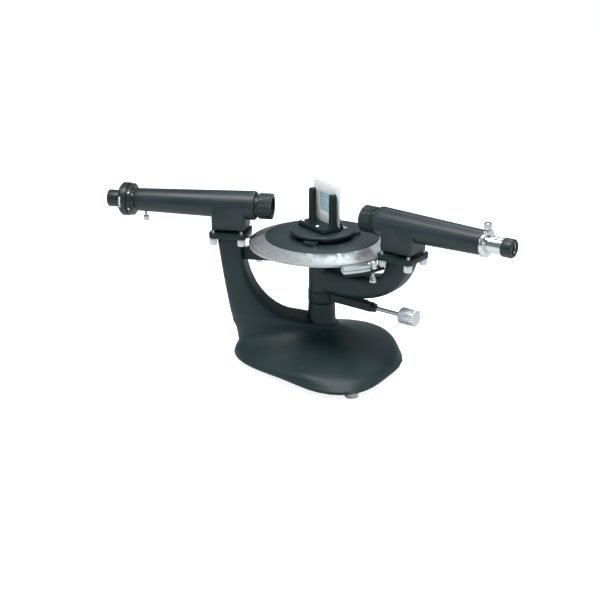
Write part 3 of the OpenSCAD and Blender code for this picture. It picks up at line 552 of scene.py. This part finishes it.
lines = join([ring_of_marks(*line) for line in LINES])
numbers = join([number_on_bevel(value) for value in range(0, 360, NUMBER_STEP)])
finish_piece(lines, "circle_scale", "circle", "scale_ink")
finish_piece(numbers, "circle_numbers", "circle", "number_ink")


def strip(length, width, place):
    """A thin flat mark: X is its length, Z its outward side."""
    bpy.ops.object.select_all(action="DESELECT")
    bpy.ops.mesh.primitive_plane_add(size=1)
    piece = bpy.context.object
    piece.data.transform(Matrix.Diagonal((length, width, 1, 1)))
    settle(piece, place)
    return piece


# The vernier: thirty parts over twenty-nine half degrees, on the plate's top beside the circle.
# Its middle is in degrees from the telescope's arm.
VERNIER_PARTS = 30
VERNIER_MIDDLE = -31.0
VERNIER_INNER = 90.0 * MM
VERNIER_TOP = 160.21 * MM


def vernier_mark(part):
    reach = (5.0 if part % 5 == 0 else 3.2) * MM
    turn = VERNIER_MIDDLE + (part - VERNIER_PARTS / 2) * 29 / 60
    middle = about_z(TELESCOPE_ANGLE + math.radians(turn), VERNIER_INNER + reach / 2, 0, VERNIER_TOP)
    return strip(reach, 0.14 * MM, middle)


finish_piece(join([vernier_mark(part) for part in range(VERNIER_PARTS + 1)]), "vernier_scale", "arm",
             "scale_ink")

# The slit drum: distance along the collimator and radius of the thin ring at its tube end, and of
# its rim beside the chamfer
THIN_RING_AT = (237.6 * MM, 19.6 * MM)
DRUM_RIM_AT = (248.3 * MM, 20.5 * MM)


def on_drum(height, along, radius):
    """Place on the drum at so many degrees above the -Y side: X along its axis, Z outward."""
    axis = Matrix.Translation((0, 0, AXIS_HEIGHT)) @ Matrix.Rotation(COLLIMATOR_ANGLE, 4, "Z")
    return axis @ Matrix.Rotation(math.radians(height - 90), 4, "X") \
        @ Matrix.Translation((along, 0, radius))


def on_rim(height, lift):
    return on_drum(height, DRUM_RIM_AT[0], DRUM_RIM_AT[1] + lift)


# Two grub screws in the thin ring
grubs = [peg(1.3 * MM, 0.5 * MM, on_drum(height, *THIN_RING_AT)) for height in (38, -23)]
finish_piece(join(grubs), "drum_grub_screws", "slit_unit", "nickel")

# The rim's white index strip, with its width scale
INDEX_FROM, INDEX_STEP, INDEX_PARTS = -14, 2, 18
TICK_FROM, TICK_STEP, TICKS = -13, 3.2, 11
index = [strip(1.9 * MM, 0.9 * MM, on_rim(INDEX_FROM + INDEX_STEP * k, 0.03 * MM))
         for k in range(INDEX_PARTS)]
finish_piece(join(index), "slit_index", "slit_unit", "scale_white")
ticks = [strip((1.6 if k % 5 == 0 else 1.0) * MM, 0.12 * MM,
               on_rim(TICK_FROM + TICK_STEP * k, 0.06 * MM)) for k in range(TICKS)]
finish_piece(join(ticks), "slit_scale", "slit_unit", "scale_ink")

# The ring that holds the eye lens, sunk into the cap's end
EYE_END = 250.7 * MM
RETAINER_DEPTH = 2.4 * MM
bpy.ops.object.select_all(action="DESELECT")
bpy.ops.mesh.primitive_torus_add(major_segments=64, minor_segments=12,
                                 major_radius=6.1 * MM, minor_radius=0.42 * MM)
retainer = bpy.context.object
settle(retainer, about_z(TELESCOPE_ANGLE, EYE_END - RETAINER_DEPTH, 0, AXIS_HEIGHT)
       @ Matrix.Rotation(math.pi / 2, 4, "Y"))
smooth(retainer, 60)
finish_piece(retainer, "eye_lens_retainer", "eyepiece", "nickel")


# ---------------------------------------------------------------- floor, light and camera

LIGHT_AIM = Vector((0, 0, 0.15))


def seen_or_bounced(tree, bounced, seen, out):
    """One shader for light that bounces, another for what the camera sees, also through glass."""
    path = tree.nodes.new("ShaderNodeLightPath")
    choose = tree.nodes.new("ShaderNodeMixShader")
    watched = maths(tree, "MAXIMUM", path.outputs["Is Camera Ray"], path.outputs["Is Transmission Ray"])
    link(tree, watched, choose.inputs["Fac"])
    link(tree, bounced.outputs[0], choose.inputs[1])
    link(tree, seen.outputs[0], choose.inputs[2])
    link(tree, choose.outputs[0], out.inputs["Surface"])


def coloured(tree, kind, colour, strength=None):
    node = tree.nodes.new(kind)
    node.inputs["Color"].default_value = (*colour, 1)
    if strength is not None:
        node.inputs["Strength"].default_value = strength
    return node


def make_floor():
    bpy.ops.object.select_all(action="DESELECT")
    bpy.ops.mesh.primitive_plane_add(size=12)
    floor = bpy.context.object
    floor.name = "floor"
    material = bpy.data.materials.new("studio_floor")
    material.use_nodes = True
    tree = material.node_tree
    tree.nodes.clear()
    out = tree.nodes.new("ShaderNodeOutputMaterial")
    plain = coloured(tree, "ShaderNodeBsdfDiffuse", (0.72, 0.76, 0.78))
    glow = coloured(tree, "ShaderNodeEmission", (1, 1, 1), 0.84)
    add = tree.nodes.new("ShaderNodeAddShader")
    link(tree, plain.outputs[0], add.inputs[0])
    link(tree, glow.outputs[0], add.inputs[1])
    seen_or_bounced(tree, plain, add, out)
    floor.data.materials.append(material)


def make_world():
    world = bpy.data.worlds.new("studio")
    world.use_nodes = True
    tree = world.node_tree
    tree.nodes.clear()
    out = tree.nodes.new("ShaderNodeOutputWorld")
    soft = coloured(tree, "ShaderNodeBackground", (0.86, 0.96, 1), 0.25)
    white = coloured(tree, "ShaderNodeBackground", (1, 1, 1), 1.0)
    seen_or_bounced(tree, soft, white, out)
    scene.world = world


def area_light(name, at, size, power, colour):
    lamp = bpy.data.lights.new(name, "AREA")
    lamp.shape = "RECTANGLE"
    lamp.size, lamp.size_y = size
    lamp.energy = power
    lamp.color = colour
    holder = bpy.data.objects.new(name, lamp)
    scene.collection.objects.link(holder)
    holder.location = at
    holder.rotation_euler = (LIGHT_AIM - Vector(at)).to_track_quat("-Z", "Y").to_euler()


make_floor()
make_world()
area_light("overhead_softbox", (0.0, -0.45, 1.7), (1.7, 0.5), 38, (1.0, 0.95, 0.92))
area_light("left_softbox", (-1.5, -0.6, 0.9), (0.6, 0.9), 4, (0.80, 0.96, 1.0))
area_light("right_softbox", (1.6, -0.2, 0.8), (0.6, 0.8), 4, (0.85, 0.97, 1.0))
area_light("back_softbox", (0.2, 0.95, 1.75), (0.9, 0.6), 9, (0.94, 0.99, 1.0))
area_light("front_fill", (0.9, -1.6, 0.5), (0.8, 0.6), 2.5, (0.85, 0.98, 1.0))

# The camera, fitted to the circle, the spindle and both optical axes in the photograph
camera = bpy.data.cameras.new("photo_camera")
camera.sensor_width = 36
camera.lens = 60
camera.clip_start, camera.clip_end = 0.05, 30
eye = bpy.data.objects.new("photo_camera", camera)
scene.collection.objects.link(eye)
eye.location = (0.1935, -1.1377, 0.5339)
azimuth, pitch = math.radians(100.99), math.radians(-21.33)
looking = Vector((math.cos(azimuth) * math.cos(pitch), math.sin(azimuth) * math.cos(pitch),
                  math.sin(pitch)))
eye.rotation_euler = looking.to_track_quat("-Z", "Y").to_euler()
scene.camera = eye
scene.view_settings.view_transform = "Standard"
